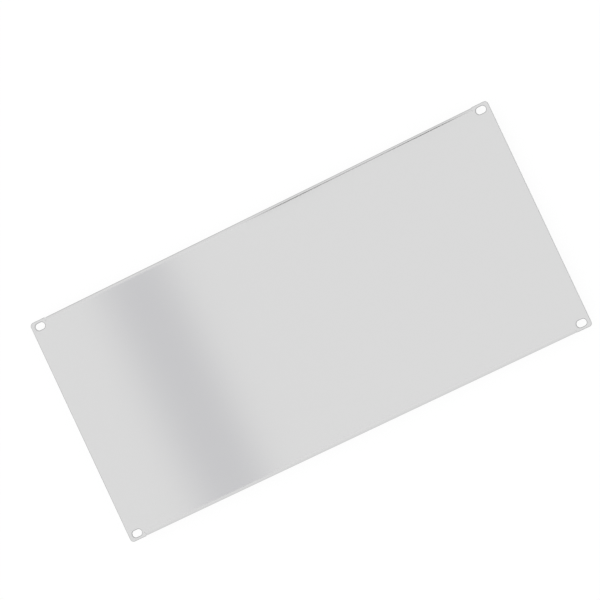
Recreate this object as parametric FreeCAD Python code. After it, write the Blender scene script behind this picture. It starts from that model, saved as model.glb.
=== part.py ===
"""A flanged blanking panel that closes five unused units of a 19-inch equipment rack.

It is one sheet of aluminium. Its long edges are folded back at a right angle as stiffening flanges, which
stop short of both ends, so that they pass between the rack's rails. The flat ears left at the ends lie on
the rails and hold the four fixing slots.

Frame, in millimetres: X along the panel, Y up the rack, Z out of the face. The panel lies on the free edges
of its flanges, with the origin under its middle.
"""

import FreeCAD
import Part

import math
import os

# The rack that the panel fits.
RACK_PITCH = 44.45  # height of one unit
UNITS = 5  # units covered
HOLE_FROM_UNIT_EDGE = 6.35  # from the edge of a unit to the nearest rail hole

# The panel's outline.
PANEL_WIDTH = 482.6
HEIGHT_CLEARANCE = 0.79  # taken off the covered height, so that neighbouring panels don't bind
CORNER_RADIUS = 3.5

# The fixing slots.
SLOT_LENGTH = 9.9
SLOT_WIDTH = 6.5
SLOT_FROM_END = 8.75  # from the panel's end to the middle of a slot

# The sheet and its folds.
SHEET = 1.5  # thickness
INSIDE_BEND_RADIUS = 1.5
FLANGE_DEPTH = 12.0  # from the face to the free edge
FLANGE_SET_IN = 0.3  # from the ears' long edge to the flange's outer side
FLANGE_CORNER_RADIUS = 2.0  # on the free corners

# The relief slits between the flanges and the ears.
RELIEF_WIDTH = 0.35
RELIEF_OVERCUT = 0.3  # how far a slit's straight sides run past the start of the bend
SLOT_TO_RELIEF = 2.2  # metal left between the end of a slot and the slit beside it

EDGE_BREAK = 0.25  # width of the bevel that takes the sharpness off the front of the ears

# Worked out from the sizes above.
PANEL_HEIGHT = UNITS * RACK_PITCH - HEIGHT_CLEARANCE
SLOT_SPACING_X = PANEL_WIDTH - 2 * SLOT_FROM_END
SLOT_SPACING_Y = UNITS * RACK_PITCH - 2 * HOLE_FROM_UNIT_EDGE
EAR_WIDTH = SLOT_FROM_END + SLOT_LENGTH / 2 + SLOT_TO_RELIEF
FLANGE_LENGTH = PANEL_WIDTH - 2 * (EAR_WIDTH + RELIEF_WIDTH)
OUTSIDE_BEND_RADIUS = INSIDE_BEND_RADIUS + SHEET
FLANGE_Y = PANEL_HEIGHT / 2 - FLANGE_SET_IN  # outer side of the upper flange
BEND_Y = FLANGE_Y - OUTSIDE_BEND_RADIUS  # where the flat face ends and the upper bend starts
FACE_Z = FLANGE_DEPTH  # front of the face
BACK_Z = FLANGE_DEPTH - SHEET  # back of the face

UP = FreeCAD.Vector(0, 0, 1)
ALONG = FreeCAD.Vector(1, 0, 0)


def rounded_plate(x_size, y_size, radius, z_low, z_high):
    """A flat plate, centred on the Z axis, with its four upright edges rounded."""
    plate = Part.makeBox(x_size, y_size, z_high - z_low, FreeCAD.Vector(-x_size / 2, -y_size / 2, z_low))
    upright = [edge for edge in plate.Edges if abs(edge.tangentAt(edge.FirstParameter).z) > 0.5]
    return plate.makeFillet(radius, upright)


def obround(length, width, z_low, z_high):
    """A round-ended bar, centred on the Z axis, with its length along X."""
    radius = width / 2
    half_run = length / 2 - radius
    right = FreeCAD.Vector(half_run, 0, z_low)
    left = FreeCAD.Vector(-half_run, 0, z_low)
    side = FreeCAD.Vector(0, radius, 0)
    tip = FreeCAD.Vector(radius, 0, 0)
    outline = Part.Wire(
        [
            Part.LineSegment(left - side, right - side).toShape(),
            Part.Arc(right - side, right + tip, right + side).toShape(),
            Part.LineSegment(right + side, left + side).toShape(),
            Part.Arc(left + side, left - tip, left - side).toShape(),
        ]
    )
    return Part.Face(outline).extrude(UP * (z_high - z_low))


def face_blank():
    """The flat face with its ears, cut back along the middle of both long edges, where the bends start."""
    blank = rounded_plate(PANEL_WIDTH, PANEL_HEIGHT, CORNER_RADIUS, BACK_Z, FACE_Z)
    strip_width = PANEL_HEIGHT / 2 - BEND_Y
    for strip_y in (BEND_Y, -PANEL_HEIGHT / 2):
        corner = FreeCAD.Vector(-FLANGE_LENGTH / 2, strip_y, BACK_Z)
        blank = blank.cut(Part.makeBox(FLANGE_LENGTH, strip_width, SHEET, corner))
    return blank


def relief_slits():
    """Four round-bottomed slits, which part the ends of the flanges from the ears."""
    slit_x = (FLANGE_LENGTH + RELIEF_WIDTH) / 2
    reach = PANEL_HEIGHT / 2 - BEND_Y + RELIEF_OVERCUT + RELIEF_WIDTH / 2
    slits = []
    for x in (-slit_x, slit_x):
        for edge_y in (-PANEL_HEIGHT / 2, PANEL_HEIGHT / 2):
            # The bar is centred on the panel's edge, so only its inner half cuts.
            slit = obround(2 * reach, RELIEF_WIDTH, BACK_Z, FACE_Z)
            slit.rotate(FreeCAD.Vector(), UP, 90)
            slit.translate(FreeCAD.Vector(x, edge_y, 0))
            slits.append(slit)
    return slits


def fixing_slots():
    """Four round-ended slots on the rack's hole pattern."""
    slots = []
    for x in (-SLOT_SPACING_X / 2, SLOT_SPACING_X / 2):
        for y in (-SLOT_SPACING_Y / 2, SLOT_SPACING_Y / 2):
            slot = obround(SLOT_LENGTH, SLOT_WIDTH, BACK_Z, FACE_Z)
            slot.translate(FreeCAD.Vector(x, y, 0))
            slots.append(slot)
    return slots


def upper_flange():
    """The fold on the upper edge: a quarter bend out of the face, and the leg that runs back from it."""
    start_x = -FLANGE_LENGTH / 2
    centre_z = FACE_Z - OUTSIDE_BEND_RADIUS
    inner_y = FLANGE_Y - SHEET
    diagonal = math.sqrt(0.5)

    def at(y, z):
        return FreeCAD.Vector(start_x, y, z)

    def middle_of_bend(radius):
        return at(BEND_Y + radius * diagonal, centre_z + radius * diagonal)

    outer_arc = Part.Arc(at(BEND_Y, FACE_Z), middle_of_bend(OUTSIDE_BEND_RADIUS), at(FLANGE_Y, centre_z))
    inner_arc = Part.Arc(at(inner_y, centre_z), middle_of_bend(INSIDE_BEND_RADIUS), at(BEND_Y, BACK_Z))
    section = [
        Part.LineSegment(at(BEND_Y, BACK_Z), at(BEND_Y, FACE_Z)),
        outer_arc,
        Part.LineSegment(at(FLANGE_Y, centre_z), at(FLANGE_Y, 0)),
        Part.LineSegment(at(FLANGE_Y, 0), at(inner_y, 0)),
        Part.LineSegment(at(inner_y, 0), at(inner_y, centre_z)),
        inner_arc,
    ]
    outline = Part.Wire([curve.toShape() for curve in section])
    flange = Part.Face(outline).extrude(ALONG * FLANGE_LENGTH)
    free_corners = [
        edge for edge in flange.Edges if edge.BoundBox.ZMax < SHEET / 2 and edge.BoundBox.XLength < SHEET / 2
    ]
    return flange.makeFillet(FLANGE_CORNER_RADIUS, free_corners)


def break_edges(panel):
    """Bevels the front rims of the ears and of their slots. The slits and the flanges stay as cut."""
    ear_start = PANEL_WIDTH / 2 - EAR_WIDTH
    tolerance = RELIEF_WIDTH / 10
    rims = [
        edge
        for edge in panel.Edges
        if edge.BoundBox.ZMin > FACE_Z - tolerance and abs(edge.CenterOfMass.x) > ear_start + tolerance
    ]
    return panel.makeChamfer(EDGE_BREAK, rims)


def blanking_panel():
    """The whole panel as one solid."""
    upper = upper_flange()
    lower = upper.mirror(FreeCAD.Vector(), FreeCAD.Vector(0, 1, 0))
    blank = face_blank().cut(relief_slits() + fixing_slots())
    return break_edges(blank.fuse([upper, lower]).removeSplitter())


if __name__ == "__main__":
    os.makedirs("parts", exist_ok=True)
    panel = blanking_panel()
    panel.exportStep("parts/blanking_panel.step")
    print("blanking_panel valid", panel.isValid(), "solids", len(panel.Solids), "volume", round(panel.Volume, 1))
    print(panel.BoundBox)
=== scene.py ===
"""Dresses the flanged rack blanking panel as satin aluminium sheet and lays it on a white studio table."""

import logging
import math
from dataclasses import dataclass, field
from enum import Enum

import bpy
from mathutils import Matrix, Vector

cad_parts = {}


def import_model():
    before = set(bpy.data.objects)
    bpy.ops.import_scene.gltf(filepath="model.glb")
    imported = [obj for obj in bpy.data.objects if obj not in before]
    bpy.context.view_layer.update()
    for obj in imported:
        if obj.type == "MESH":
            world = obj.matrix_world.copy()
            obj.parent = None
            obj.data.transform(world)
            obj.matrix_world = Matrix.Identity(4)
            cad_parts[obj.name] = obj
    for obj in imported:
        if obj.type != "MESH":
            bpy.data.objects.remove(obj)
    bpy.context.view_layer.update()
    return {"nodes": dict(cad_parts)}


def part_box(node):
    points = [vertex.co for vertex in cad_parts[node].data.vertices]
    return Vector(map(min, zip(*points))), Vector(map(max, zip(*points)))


Colour = tuple[float, float, float]
Socket = bpy.types.NodeSocket
Source = Socket | float | Colour

LOG = logging.getLogger("blanking_panel")
PANEL_NODE = "blanking_panel"
MM = 0.001
WHITE: Colour = (1.0, 1.0, 1.0)

# What tells the panel's cut edges from its rolled skin, by the normal and the height.
CUT_END_LEAN = 0.1  # a normal with more X than this is on a cut edge
EAR_FLATNESS = 0.97  # on the ears, so is one with less Z than this
LOOKS_DOWN = -0.3  # a normal with less Z than this looks at the table
FREE_EDGE_HEIGHT = 0.4 * MM  # the flanges' free edges lie below this
BEVEL_SLANT = 0.25  # a bevel slants more than this, and flat metal and upright walls slant less


class SocketKind(Enum):
    """What a node group's socket carries."""

    NUMBER = "NodeSocketFloat"
    VECTOR = "NodeSocketVector"


@dataclass
class NodeTree:
    """Adds nodes to a shader tree and joins them.

    Attributes:
        tree: The shader tree.
    """

    tree: bpy.types.NodeTree

    def node(self, kind: str, **settings: object) -> bpy.types.Node:
        """Adds a node and sets its properties.

        Args:
            kind: The node's type, without "ShaderNode" in front.
            **settings: Properties of the node, by name.

        Returns:
            The new node.
        """
        node = self.tree.nodes.new(f"ShaderNode{kind}")
        for name, value in settings.items():
            setattr(node, name, value)
        return node

    def feed(self, socket: Socket, source: Source) -> None:
        """Links a socket to an input, or sets the input to a plain value.

        Args:
            socket: The input.
            source: The output socket to link, or the value to set.
        """
        if isinstance(source, Socket):
            self.tree.links.new(source, socket)
        elif socket.type == "RGBA":
            socket.default_value = (*source, 1.0)
        else:
            socket.default_value = source

    def group(self, inner: bpy.types.NodeTree, sources: dict[str, Source]) -> bpy.types.Node:
        """Adds a node group and feeds its inputs.

        Args:
            inner: The group's own tree.
            sources: What its inputs are fed with, by their names.

        Returns:
            The group's node.
        """
        node = self.node("Group", node_tree=inner)
        for name, source in sources.items():
            self.feed(node.inputs[name], source)
        return node

    def math(self, operation: str, *sources: Source) -> Socket:
        """Adds a Math node.

        Args:
            operation: The node's operation, such as "MULTIPLY".
            *sources: What its inputs are fed with, in order.

        Returns:
            The result's socket.
        """
        node = self.node("Math", operation=operation)
        for socket, source in zip(node.inputs, sources):
            self.feed(socket, source)
        return node.outputs[0]

    def vector_math(self, operation: str, *sources: Source) -> Socket:
        """Adds a Vector Math node that gives a vector.

        Args:
            operation: The node's operation, such as "MULTIPLY".
            *sources: What its vector inputs are fed with, in order.

        Returns:
            The result's socket.
        """
        node = self.node("VectorMath", operation=operation)
        for socket, source in zip(node.inputs, sources):
            self.feed(socket, source)
        return node.outputs[0]

    def join(self, x: Source, y: Source, z: Source = 0.0) -> Socket:
        """Joins three numbers into a vector.

        Args:
            x: The vector's part along X.
            y: Its part along Y.
            z: Its part along Z.

        Returns:
            The vector's socket.
        """
        node = self.node("CombineXYZ")
        for socket, source in zip(node.inputs, (x, y, z)):
            self.feed(socket, source)
        return node.outputs[0]

    def split(self, vector: Socket) -> tuple[Socket, Socket, Socket]:
        """Separates a vector into its parts.

        Args:
            vector: The vector.

        Returns:
            Its parts along X, Y and Z.
        """
        node = self.node("SeparateXYZ")
        self.feed(node.inputs[0], vector)
        return tuple(node.outputs)

    def length(self, vector: Socket) -> Socket:
        """Measures a vector.

        Args:
            vector: The vector.

        Returns:
            The socket of its length.
        """
        node = self.node("VectorMath", operation="LENGTH")
        self.feed(node.inputs[0], vector)
        return node.outputs["Value"]

    def blend(self, factor: Socket, first: Source, second: Source) -> Socket:
        """Mixes two colours.

        Args:
            factor: 0 gives the first colour, and 1 the second.
            first: A colour socket, or a colour.
            second: A colour socket, or a colour.

        Returns:
            The mixed colour's socket.
        """
        node = self.node("Mix", data_type="RGBA")
        self.feed(node.inputs["Factor"], factor)
        colours = [socket for socket in node.inputs if socket.type == "RGBA"]
        for socket, source in zip(colours, (first, second)):
            self.feed(socket, source)
        return next(socket for socket in node.outputs if socket.type == "RGBA")


@dataclass
class GroupMaker(NodeTree):
    """Builds one shader node group with named sockets.

    Attributes:
        tree: The group's tree.
        inlet: The node that gives out the group's inputs.
        outlet: The node that takes in its outputs.
    """

    inlet: bpy.types.Node = field(init=False)
    outlet: bpy.types.Node = field(init=False)

    def __post_init__(self) -> None:
        """Adds the group's inlet and outlet."""
        self.inlet = self.tree.nodes.new("NodeGroupInput")
        self.outlet = self.tree.nodes.new("NodeGroupOutput")

    @classmethod
    def named(cls, name: str) -> "GroupMaker":
        """Starts an empty group of this name."""
        return cls(bpy.data.node_groups.new(name, "ShaderNodeTree"))

    def add_input(self, name: str, kind: SocketKind = SocketKind.NUMBER) -> Socket:
        """Adds a named input.

        Args:
            name: The socket's name.
            kind: What it carries.

        Returns:
            The socket that gives the input's value inside the group.
        """
        self.tree.interface.new_socket(name=name, in_out="INPUT", socket_type=kind.value)
        return self.inlet.outputs[name]

    def add_output(self, name: str, source: Socket) -> None:
        """Adds a named output, which carries a number, and feeds it.

        Args:
            name: The socket's name.
            source: The socket inside the group that it gives out.
        """
        self.tree.interface.new_socket(name=name, in_out="OUTPUT", socket_type=SocketKind.NUMBER.value)
        self.feed(self.outlet.inputs[name], source)


@dataclass
class MaterialMaker(NodeTree):
    """Builds one material from an empty tree.

    Attributes:
        tree: The material's tree.
        material: The material.
    """

    material: bpy.types.Material

    @classmethod
    def named(cls, name: str) -> "MaterialMaker":
        """Starts a material.

        Args:
            name: The material's name.

        Returns:
            Its maker.
        """
        material = bpy.data.materials.new(name)
        material.use_nodes = True
        material.node_tree.nodes.clear()
        return cls(material.node_tree, material)

    def mix(self, factor: Socket, first: Socket, second: Socket) -> Socket:
        """Mixes two shaders.

        Args:
            factor: 0 gives the first shader, and 1 the second.
            first: The first shader's socket.
            second: The second shader's socket.

        Returns:
            The mixed shader's socket.
        """
        node = self.node("MixShader")
        for socket, source in zip(node.inputs, (factor, first, second)):
            self.feed(socket, source)
        return node.outputs[0]

    def finished(self, shader: Socket) -> bpy.types.Material:
        """Gives the material its surface.

        Args:
            shader: The socket of the surface's shader.

        Returns:
            The material.
        """
        self.feed(self.node("OutputMaterial").inputs["Surface"], shader)
        return self.material


def satin_lines_group() -> bpy.types.NodeTree:
    """Fine lines that a satin finish leaves along X.

    All lengths are in metres. Height lies between 0 and 1 and is meant for a bump. Tone lies about 0.

    Returns:
        The node group.
    """
    maker = GroupMaker.named("satin_lines")
    vector = maker.add_input("Vector", SocketKind.VECTOR)
    along = maker.math("DIVIDE", 1.0, maker.add_input("Line Length"))
    across = maker.math("DIVIDE", 1.0, maker.add_input("Line Pitch"))
    stretched = maker.vector_math("MULTIPLY", vector, maker.join(along, across, across))
    lines = maker.node("TexNoise")
    maker.feed(lines.inputs["Vector"], stretched)
    maker.feed(lines.inputs["Scale"], 1.0)
    maker.feed(lines.inputs["Detail"], 3.0)
    maker.feed(lines.inputs["Roughness"], 0.62)
    maker.add_output("Height", lines.outputs["Fac"])
    maker.add_output("Tone", maker.math("SUBTRACT", lines.outputs["Fac"], 0.5))
    return maker.tree


def handling_haze_group() -> bpy.types.NodeTree:
    """Broad, faint clouds left on a sheet by rolling, wiping and handling.

    All lengths are in metres. Haze lies about 0.

    Returns:
        The node group.
    """
    maker = GroupMaker.named("handling_haze")
    vector = maker.add_input("Vector", SocketKind.VECTOR)
    size = maker.add_input("Cloud Size")
    clouds = maker.node("TexNoise")
    maker.feed(clouds.inputs["Vector"], vector)
    maker.feed(clouds.inputs["Scale"], maker.math("DIVIDE", 1.0, size))
    maker.feed(clouds.inputs["Detail"], 4.0)
    maker.feed(clouds.inputs["Roughness"], 0.55)
    maker.feed(clouds.inputs["Distortion"], 0.4)
    maker.add_output("Haze", maker.math("SUBTRACT", clouds.outputs["Fac"], 0.5))
    return maker.tree


def outline_distances_group() -> bpy.types.NodeTree:
    """Distances from the panel's outline and from its slots, seen along Z, in metres.

    It folds the panel's four quarters onto one. From Outline is below 0 inside the rounded rectangle, and at
    least the corner radius below it there. From Slot is below 0 inside a slot.

    Returns:
        The node group.
    """
    maker = GroupMaker.named("outline_distances")
    vector = maker.add_input("Vector", SocketKind.VECTOR)
    half_width = maker.add_input("Half Width")
    half_height = maker.add_input("Half Height")
    corner_radius = maker.add_input("Corner Radius")
    slot_x = maker.add_input("Slot X")
    slot_y = maker.add_input("Slot Y")
    slot_half_run = maker.add_input("Slot Half Run")
    slot_radius = maker.add_input("Slot Radius")
    x, y, _ = maker.split(maker.vector_math("ABSOLUTE", vector))

    def beyond(place: Socket, limit: Socket) -> Socket:
        """How far a place lies past a limit, or 0."""
        return maker.math("MAXIMUM", maker.math("SUBTRACT", place, limit), 0.0)

    corner_x = beyond(x, maker.math("SUBTRACT", half_width, corner_radius))
    corner_y = beyond(y, maker.math("SUBTRACT", half_height, corner_radius))
    from_corner = maker.length(maker.join(corner_x, corner_y))
    maker.add_output("From Outline", maker.math("SUBTRACT", from_corner, corner_radius))

    run_x = beyond(maker.math("ABSOLUTE", maker.math("SUBTRACT", x, slot_x)), slot_half_run)
    run_y = maker.math("SUBTRACT", y, slot_y)
    from_run = maker.length(maker.join(run_x, run_y))
    maker.add_output("From Slot", maker.math("SUBTRACT", from_run, slot_radius))
    return maker.tree


def sheet_regions_group() -> bpy.types.NodeTree:
    """Tells the cut edges, their rims and the folds of the panel from its rolled skin.

    The rolled skin never leans along X, so whatever does is a cut edge. So is what leans in any way on the
    ears, beyond the flanges' ends, and what looks down at the flanges' free edges. All lengths are in
    metres.

    Returns:
        The node group. Its outputs are masks: Cut, Bevel (the broken rims of the cut edges), Punched (the
        cut edges round the slots, which take painted shade), Rim Shade (the skin beside the broken rims,
        where the material paints shade), and Fold, which grows from 0 to 1 as the folded skin leans out of
        the face.
    """
    maker = GroupMaker.named("sheet_regions")
    vector = maker.add_input("Vector", SocketKind.VECTOR)
    normal = maker.add_input("Normal", SocketKind.VECTOR)
    flange_half = maker.add_input("Flange Half Length")
    from_outline = maker.add_input("From Outline")
    from_slot = maker.add_input("From Slot")
    reach = maker.add_input("Border Reach")
    x, _, z = maker.split(maker.vector_math("ABSOLUTE", vector))
    lean_x, lean_y, lean_z = maker.split(maker.vector_math("ABSOLUTE", normal))
    _, _, upward = maker.split(normal)

    on_ear = maker.math("GREATER_THAN", x, flange_half)
    cut_end = maker.math("GREATER_THAN", lean_x, CUT_END_LEAN)
    ear_edge = maker.math("MULTIPLY", on_ear, maker.math("LESS_THAN", lean_z, EAR_FLATNESS))
    down = maker.math("LESS_THAN", upward, LOOKS_DOWN)
    free_edge = maker.math("MULTIPLY", down, maker.math("LESS_THAN", z, FREE_EDGE_HEIGHT))
    cut = maker.math("MAXIMUM", cut_end, maker.math("MAXIMUM", ear_edge, free_edge))
    rolled = maker.math("SUBTRACT", 1.0, cut)

    # The slant, Z times (1 - Z squared), is 0 on flat metal and on upright walls, and largest between them.
    z_squared = maker.math("MULTIPLY", lean_z, lean_z)
    slant = maker.math("MULTIPLY", lean_z, maker.math("SUBTRACT", 1.0, z_squared))
    slanted = maker.math("GREATER_THAN", slant, BEVEL_SLANT)
    near_slot = maker.math("LESS_THAN", from_slot, reach)
    near_outline = maker.math("GREATER_THAN", from_outline, maker.math("MULTIPLY", reach, -1.0))
    near_rim = maker.math("MAXIMUM", near_slot, maker.math("MULTIPLY", near_outline, on_ear))
    maker.add_output("Cut", cut)
    maker.add_output("Bevel", maker.math("MULTIPLY", cut, slanted))
    maker.add_output("Punched", maker.math("MULTIPLY", cut, near_slot))
    # Rim Shade marks the skin beside the rims, where the material paints shade.
    maker.add_output("Rim Shade", maker.math("MULTIPLY", rolled, near_rim))
    # Fold also sets where the material paints shade on the folds.
    maker.add_output("Fold", maker.math("MULTIPLY", rolled, lean_y))
    return maker.tree


@dataclass(frozen=True)
class SheetFinish:
    """A metal sheet's finish. All lengths are in metres.

    Attributes:
        name: The material's name.
        skin: Reflectance of the rolled skin.
        fold_painted_shade: Reflectance of the skin where it is folded back: painted shade, reached as the
            skin leans fully out of the face.
        sheared: Reflectance of the sheet's cut outline.
        bevel: Reflectance of the broken rims of the cut edges.
        slot_wall_painted_shade: Reflectance of the slots' walls, darker than the sheared outline: painted
            shade in the slots.
        slot_rim_painted_shade: Reflectance of the slots' broken rims, far darker than the other rims:
            painted shade round the slots.
        border_painted_shade: Reflectance of the skin beside the broken rims: painted shade, a dark strip
            round the slots and along the ears' outline.
        skin_roughness: Mean roughness of the skin.
        fold_roughness: Roughness of the folds, which the folding tool has smoothed.
        cut_roughness: Roughness of the cut edges.
        tone_spread: How much the lines lighten and darken the colour.
        haze_spread: How much the broad haze changes the roughness.
        haze_size: Size of a cloud of that haze.
        line_length: Mean length of the satin lines.
        line_pitch: Mean distance between them.
        line_depth: Height of the bump that they make.
    """

    name: str
    skin: Colour
    fold_painted_shade: Colour
    sheared: Colour
    bevel: Colour
    slot_wall_painted_shade: Colour
    slot_rim_painted_shade: Colour
    border_painted_shade: Colour
    skin_roughness: float
    fold_roughness: float
    cut_roughness: float
    tone_spread: float
    haze_spread: float
    haze_size: float
    line_length: float
    line_pitch: float
    line_depth: float


SATIN_ALUMINIUM = SheetFinish(
    name="satin_aluminium",
    skin=(0.701, 0.701, 0.701),
    fold_painted_shade=(0.600, 0.600, 0.603),
    sheared=(0.94, 0.94, 0.94),
    bevel=(0.74, 0.74, 0.74),
    slot_wall_painted_shade=(0.78, 0.78, 0.78),
    slot_rim_painted_shade=(0.42, 0.42, 0.425),
    border_painted_shade=(0.38, 0.38, 0.385),
    skin_roughness=0.30,
    fold_roughness=0.12,
    cut_roughness=0.55,
    tone_spread=0.03,
    haze_spread=0.02,
    haze_size=90 * MM,
    line_length=30 * MM,
    line_pitch=0.3 * MM,
    line_depth=0.002 * MM,
)


@dataclass
class BlankingPanel:
    """The folded sheet. All lengths are in metres.

    Attributes:
        finish: The finish of the whole sheet.
        half_width: Half the outline's length along X.
        half_height: Half the outline's length along Y.
        corner_radius: Radius of the outline's corners.
        flange_from_end: From the panel's end to the end of a flange.
        slot_from_end: From the panel's end to the middle of a slot.
        slot_from_edge: From its long edge to the middle of a slot.
        slot_length: Length of a slot.
        slot_width: Width of a slot.
        edge_break: Width of the bevel on the cut edges.
        rim_shade_width: Width of the strip beside the bevel where shade is painted.
    """

    finish: SheetFinish
    half_width: float
    half_height: float
    corner_radius: float = 3.5 * MM
    flange_from_end: float = 16.25 * MM
    slot_from_end: float = 8.75 * MM
    slot_from_edge: float = 5.955 * MM
    slot_length: float = 9.9 * MM
    slot_width: float = 6.5 * MM
    edge_break: float = 0.25 * MM
    rim_shade_width: float = 0.27 * MM

    def dress(self, node: bpy.types.Object) -> None:
        """Gives the panel's solid its finish.

        Args:
            node: The panel's object, as loaded.
        """
        node.material_slots[0].material = self.sheet_metal()
        LOG.info("%s: dressed with %s", node.name, self.finish.name)

    def sheet_metal(self) -> bpy.types.Material:
        """Makes the sheet's material.

        Returns:
            The material.
        """
        finish = self.finish
        maker = MaterialMaker.named(finish.name)
        place = maker.node("TexCoord").outputs["Object"]
        regions = self.regions(maker, place)
        haze = maker.group(handling_haze_group(), {"Vector": place, "Cloud Size": finish.haze_size})
        line_sizes = {"Line Length": finish.line_length, "Line Pitch": finish.line_pitch}
        lines = maker.group(satin_lines_group(), {"Vector": place, **line_sizes})
        bump = maker.node("Bump")
        maker.feed(bump.inputs["Strength"], 1.0)
        maker.feed(bump.inputs["Distance"], finish.line_depth)
        maker.feed(bump.inputs["Height"], lines.outputs["Height"])

        shader = maker.node("BsdfPrincipled")
        maker.feed(shader.inputs["Metallic"], 1.0)
        maker.feed(shader.inputs["Base Color"], self.colour(maker, regions, lines.outputs["Tone"]))
        maker.feed(shader.inputs["Roughness"], self.roughness(maker, regions, haze.outputs["Haze"]))
        maker.feed(shader.inputs["Normal"], bump.outputs["Normal"])
        return maker.finished(shader.outputs["BSDF"])

    def regions(self, maker: MaterialMaker, place: Socket) -> bpy.types.Node:
        """Adds the node that tells the sheet's regions apart.

        Args:
            maker: The maker of the sheet's material.
            place: The position in the panel's frame.

        Returns:
            The node of the sheet_regions group.
        """
        distances = maker.group(
            outline_distances_group(),
            {
                "Vector": place,
                "Half Width": self.half_width,
                "Half Height": self.half_height,
                "Corner Radius": self.corner_radius,
                "Slot X": self.half_width - self.slot_from_end,
                "Slot Y": self.half_height - self.slot_from_edge,
                "Slot Half Run": (self.slot_length - self.slot_width) / 2,
                "Slot Radius": self.slot_width / 2,
            },
        )
        return maker.group(
            sheet_regions_group(),
            {
                "Vector": place,
                "Normal": maker.node("NewGeometry").outputs["True Normal"],
                "Flange Half Length": self.half_width - self.flange_from_end,
                "From Outline": distances.outputs["From Outline"],
                "From Slot": distances.outputs["From Slot"],
                "Border Reach": self.edge_break + self.rim_shade_width,
            },
        )

    def colour(self, maker: MaterialMaker, regions: bpy.types.Node, tone: Socket) -> Socket:
        """Colours each region, with painted shade on the folds, on the slots' walls and rims and on the skin
        beside the rims, and lightens and darkens all of them a little along the satin lines.

        Args:
            maker: The maker of the sheet's material.
            regions: The node that tells the regions apart.
            tone: The lines' tone, about 0.

        Returns:
            The colour's socket.
        """
        finish = self.finish
        masks = regions.outputs
        # Painted shade: the folded skin darkens as it leans out of the face.
        colour = maker.blend(maker.math("POWER", masks["Fold"], 2.0), finish.skin, finish.fold_painted_shade)
        # Painted shade: a dark strip on the skin beside the slots' rims and the ears' outline.
        colour = maker.blend(masks["Rim Shade"], colour, finish.border_painted_shade)
        # Painted shade: the slots' walls are darker than the sheared outline.
        walls = maker.blend(masks["Punched"], finish.sheared, finish.slot_wall_painted_shade)
        colour = maker.blend(masks["Cut"], colour, walls)
        # Painted shade: the slots' broken rims are far darker than the outline's rims.
        rims = maker.blend(masks["Punched"], finish.bevel, finish.slot_rim_painted_shade)
        colour = maker.blend(masks["Bevel"], colour, rims)
        toned = maker.node("VectorMath", operation="SCALE")
        maker.feed(toned.inputs[0], colour)
        maker.feed(toned.inputs["Scale"], maker.math("MULTIPLY_ADD", tone, finish.tone_spread, 1.0))
        return toned.outputs[0]

    def roughness(self, maker: MaterialMaker, regions: bpy.types.Node, haze: Socket) -> Socket:
        """Polishes the folds and roughens the cut edges of the hazy skin.

        Args:
            maker: The maker of the sheet's material.
            regions: The node that tells the regions apart.
            haze: The haze, about 0.

        Returns:
            The roughness's socket.
        """
        finish = self.finish
        polished = maker.math("SQRT", regions.outputs["Fold"])
        cut = regions.outputs["Cut"]
        rough = maker.math("MULTIPLY_ADD", haze, finish.haze_spread, finish.skin_roughness)
        for mask, target in ((polished, finish.fold_roughness), (cut, finish.cut_roughness)):
            rough = maker.math("MULTIPLY_ADD", maker.math("SUBTRACT", target, rough), mask, rough)
        return rough


def stage_sheet(
    name: str, corner: Vector, length: Vector, breadth: Vector, material: bpy.types.Material
) -> bpy.types.Object:
    """Args:
        name: The rectangle's name.
        corner: One of its corners, in metres.
        length: The way from there along one side, on which U runs from 0 to 1.
        breadth: The way from there along the other side, on which V runs from 0 to 1.
        material: Its material.

    Returns:
        The rectangle's object.
    """
    mesh = bpy.data.meshes.new(name)
    mesh.from_pydata([Vector(), length, length + breadth, breadth], [], [(0, 1, 2, 3)])
    places = mesh.uv_layers.new(name="along_and_across")
    for loop, place in zip(places.data, ((0, 0), (1, 0), (1, 1), (0, 1))):
        loop.uv = place
    mesh.materials.append(material)
    sheet = bpy.data.objects.new(name, mesh)
    sheet.location = corner
    bpy.context.scene.collection.objects.link(sheet)
    LOG.info("%s: %.3f by %.3f m", name, length.length, breadth.length)
    return sheet


@dataclass
class Table:
    """The white table that the panel lies on.

    Attributes:
        half_size: Half the side of its square top, in metres.
        paper: Its colour where light falls on it.
        glow: Strength of its even white, as seen and reflected.
        shadow_share: How much of its look comes from the light that falls on it, so that shadows show.
        drop: How far its top lies below the flanges' edges, so that the two never coincide, in metres.
    """

    half_size: float = 20.0
    paper: Colour = (0.9, 0.9, 0.9)
    glow: float = 1.02
    shadow_share: float = 0.1
    drop: float = 0.05 * MM

    def build(self) -> bpy.types.Object:
        """Makes the table top.

        Returns:
            The table top's object.
        """
        corner = Vector((-self.half_size, -self.half_size, -self.drop))
        length = Vector((2 * self.half_size, 0, 0))
        breadth = Vector((0, 2 * self.half_size, 0))
        return stage_sheet("table_top", corner, length, breadth, self.white())

    def white(self) -> bpy.types.Material:
        """Makes the table's material: plain white to the eye and in reflections, with a share of real shade.

        Seen from below it is clear, so that the panel's back shows.

        Returns:
            The material.
        """
        maker = MaterialMaker.named("white_table")
        paper = maker.node("BsdfDiffuse")
        maker.feed(paper.inputs["Color"], self.paper)
        glow = maker.node("Emission")
        maker.feed(glow.inputs["Strength"], self.glow)
        path = maker.node("LightPath").outputs
        seen = maker.math("MAXIMUM", path["Is Camera Ray"], path["Is Glossy Ray"])
        seen = maker.math("MAXIMUM", seen, path["Is Transmission Ray"])
        glow_share = maker.math("MULTIPLY", seen, 1.0 - self.shadow_share)
        top = maker.mix(glow_share, paper.outputs[0], glow.outputs[0])

        underside = maker.node("NewGeometry").outputs["Backfacing"]
        seen_from_below = maker.math("MULTIPLY", path["Is Camera Ray"], underside)
        clear = maker.node("BsdfTransparent").outputs[0]
        return maker.finished(maker.mix(seen_from_below, top, clear))


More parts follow.
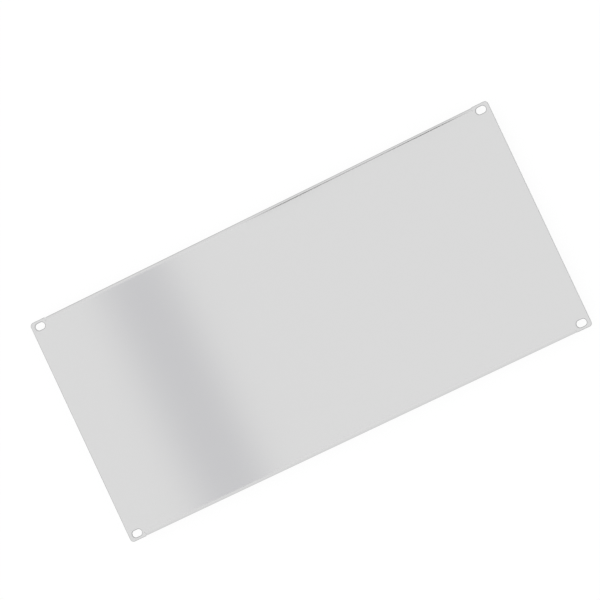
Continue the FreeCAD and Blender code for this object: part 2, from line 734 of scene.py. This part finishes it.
@dataclass
class Card:
    """A flat card that the metal reflects and nothing else sees.

    Attributes:
        name: The card's name.
        corner: One of its corners, in metres.
        length: The way from there along its shaded side, in metres.
        breadth: The way from there along its other side, in metres.
        shades: What the metal sees along its length: places from 0 to 1 and their colours.
    """

    name: str
    corner: Vector
    length: Vector
    breadth: Vector
    shades: tuple[tuple[float, Colour], ...]

    def build(self) -> bpy.types.Object:
        """Makes the card.

        Returns:
            The card's object.
        """
        card = stage_sheet(self.name, self.corner, self.length, self.breadth, self.graded())
        card.visible_camera = False
        card.visible_diffuse = False
        card.visible_transmission = False
        card.visible_shadow = False
        return card

    def graded(self) -> bpy.types.Material:
        """Makes the card's material, which eases from shade to shade.

        Returns:
            The material.
        """
        maker = MaterialMaker.named(self.name)
        ramp = maker.node("ValToRGB")
        ramp.color_ramp.interpolation = "EASE"
        stops = ramp.color_ramp.elements
        while len(stops) < len(self.shades):
            stops.new(0.5)
        for stop, (position, colour) in zip(stops, self.shades):
            stop.position = position
            stop.color = (*colour, 1.0)
        along, _, _ = maker.split(maker.node("TexCoord").outputs["UV"])
        maker.feed(ramp.inputs["Fac"], along)
        glow = maker.node("Emission")
        maker.feed(glow.inputs["Color"], ramp.outputs["Color"])
        return maker.finished(glow.outputs[0])


@dataclass
class Studio:
    """Everything round the panel: table, soft light and cards.

    Attributes:
        table: The table.
        cards: The cards that the metal reflects.
        light: Strength of the even white light.
    """

    table: Table
    cards: tuple[Card, ...]
    light: float = 1.0

    def build(self) -> None:
        """Makes the table, the cards and the white surround."""
        self.table.build()
        for card in self.cards:
            card.build()
        world = bpy.data.worlds.new("white_surround")
        world.use_nodes = True
        background = world.node_tree.nodes["Background"]
        background.inputs["Color"].default_value = (*WHITE, 1.0)
        background.inputs["Strength"].default_value = self.light
        bpy.context.scene.world = world
        LOG.info("%s: strength %.2f", world.name, self.light)


@dataclass
class ProductCamera:
    """A long lens that looks down on the panel's face.

    Attributes:
        aim: The point of the face on the lens's axis, in metres from the face's middle.
        distance: From there to the lens, in metres.
        swing: How far the lens stands towards the panel's right end, in degrees.
        rise: How far it stands towards the panel's upper edge, in degrees.
        roll: How far it is turned about its own axis, in degrees.
        focal_length: In millimetres.
        sensor: Width of the sensor, in millimetres.
    """

    aim: tuple[float, float]
    distance: float
    swing: float
    rise: float
    roll: float
    focal_length: float
    sensor: float = 36.0

    def build(self, face_z: float) -> bpy.types.Object:
        """Makes the camera and gives it to the scene.

        Args:
            face_z: Height of the panel's face, in metres.

        Returns:
            The camera object.
        """
        swing, rise, roll = (math.radians(angle) for angle in (self.swing, self.rise, self.roll))
        back = Vector((math.sin(swing) * math.cos(rise), math.sin(rise), math.cos(swing) * math.cos(rise)))
        level_up = (Vector((0.0, 1.0, 0.0)) - back * back.y).normalized()
        level_right = level_up.cross(back)
        right = level_right * math.cos(roll) + level_up * math.sin(roll)
        up = level_up * math.cos(roll) - level_right * math.sin(roll)
        place = Matrix((right, up, back)).transposed().to_4x4()
        place.translation = Vector((*self.aim, face_z)) + back * self.distance

        lens = bpy.data.cameras.new("product_camera")
        lens.sensor_width = self.sensor
        lens.lens = self.focal_length
        camera = bpy.data.objects.new("product_camera", lens)
        camera.matrix_world = place
        bpy.context.scene.collection.objects.link(camera)
        bpy.context.scene.camera = camera
        LOG.info("%s: %.0f mm lens, %.2f m away", camera.name, self.focal_length, self.distance)
        return camera


def grey(level: float) -> Colour:
    """A neutral colour of this level."""
    return (level, level, level)


def reflected_cards(face_z: float) -> tuple[Card, ...]:
    """The cards round the panel.

    Args:
        face_z: Height of the panel's face, in metres.

    Returns:
        A broad faint one over the panel's left half, a narrow dark one along its upper edge, and a faint
        grey one lying on the table beyond that edge: painted shade of the table there, which only the
        metal's reflections see.
    """
    cool = (0.79, 0.79, 0.81)
    broad = Card(
        name="broad_flag",
        corner=Vector((-218.9 * MM, -130 * MM, face_z + 80 * MM)),
        length=Vector((116.8 * MM, 0, 0)),
        breadth=Vector((0, 260 * MM, 0)),
        shades=((0.0, WHITE), (0.458, cool), (0.635, cool), (1.0, WHITE)),
    )
    edge = Card(
        name="upper_edge_flag",
        corner=Vector((-28 * MM, 109.5 * MM, face_z + 10 * MM)),
        length=Vector((257 * MM, 3.9 * MM, 0)),
        breadth=Vector((0, 6 * MM, 0)),
        shades=(
            (0.0, WHITE),
            (0.26, grey(0.23)),
            (0.46, grey(0.50)),
            (0.56, grey(0.50)),
            (0.82, grey(0.06)),
            (1.0, WHITE),
        ),
    )
    # Painted shade: a grey card on the table beyond the upper edge darkens the table as the metal reflects
    # it.
    table_shade = Card(
        name="table_shade_card",
        corner=Vector((-250 * MM, 112 * MM, 1 * MM)),
        length=Vector((500 * MM, 0, 0)),
        breadth=Vector((0, 40 * MM, 0)),
        shades=((0.0, WHITE), (0.05, grey(0.80)), (0.95, grey(0.80)), (1.0, WHITE)),
    )
    return broad, edge, table_shade


def main() -> None:
    """Loads the panel, dresses it, and builds the studio and the camera round it."""
    logging.basicConfig(level=logging.INFO, format="%(name)s: %(message)s")
    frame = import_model()
    # The frame's origin lies under the panel's middle, so the box's upper corner holds its half sizes.
    _, (half_width, half_height, face_z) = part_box(PANEL_NODE)

    panel = BlankingPanel(SATIN_ALUMINIUM, half_width, half_height)
    panel.dress(frame["nodes"][PANEL_NODE])
    Studio(table=Table(), cards=reflected_cards(face_z)).build()
    ProductCamera(
        aim=(0.00448, 0.02272),
        distance=4.5139,
        swing=17.51,
        rise=-2.0,
        roll=-25.185,
        focal_length=300.0,
    ).build(face_z)
    bpy.context.scene.view_settings.view_transform = "Standard"


if __name__ == "__main__":
    main()
